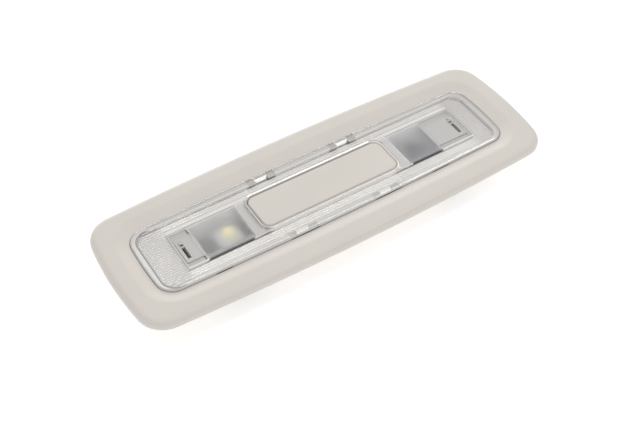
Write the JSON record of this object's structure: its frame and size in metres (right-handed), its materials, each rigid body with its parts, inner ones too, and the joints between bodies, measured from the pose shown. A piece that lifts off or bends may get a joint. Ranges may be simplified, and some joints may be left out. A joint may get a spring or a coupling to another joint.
{
  "type": "car dome light",
  "caption": "Slim car ceiling light: a bowed cream bezel round a clear hooked lens, recessed LED lamps at both ends and a blank rocker switch between them, held by spring clips.",
  "frame": {"origin": "centre of the headliner opening, in the plane of the rim that lies on the headliner", "axes": "+X along the light towards the plug inlet, +Z out of the lit face, so it lies face up on its back"},
  "size_m": [0.19, 0.0654, 0.0164],
  "materials": {
    "cream_plastic": "fine moulded grain",
    "clear_lens": "clear, with a prismatic back",
    "carrier_plastic": "smooth satin",
    "reflector": "satin white, light grey in shade",
    "board": "dark solder mask",
    "led_package": "white package with yellow phosphor",
    "dark_led": "dark package with clear gel",
    "silicone": "translucent grey",
    "chip_epoxy": "moulded epoxy",
    "chip_ceramic": "ceramic with tinned ends",
    "inlet_plastic": "glass-filled, fine grain",
    "pin_metal": "tinned",
    "cover_plastic": "fine moulded grain",
    "screw_steel": "zinc plated",
    "spring_steel": "rolled strip"
  },
  "bodies": {
    "housing": {"bezel": "cream_plastic", "lens": "clear_lens", "carrier": "carrier_plastic", "left_reflector": "reflector", "right_reflector": "reflector", "circuit_board": "board", "left_led": "led_package", "right_led": "dark_led", "switch_mat": "silicone", "driver_chip": "chip_epoxy", "resistors": "chip_epoxy", "capacitors": "chip_ceramic", "protection_diode": "chip_epoxy", "plug_inlet": "inlet_plastic", "inlet_pins": "pin_metal", "rear_cover": "cover_plastic", "cover_screws": "screw_steel", "board_screws": "screw_steel", "front_left_clip": "spring_steel", "front_right_clip": "spring_steel", "rear_left_clip": "spring_steel", "rear_right_clip": "spring_steel"},
    "rocker": {"rocker": "cream_plastic"}
  },
  "joints": [
    {"name": "rocker_tilt", "type": "hinge", "parent": "housing", "child": "rocker", "pos_m": [0, 0, -0.0023], "axis": [0, 1, 0], "range_deg": [-2, 2], "stiffness_Nm_per_rad": 0.6, "deforming": ["switch_mat"]}
  ]
}
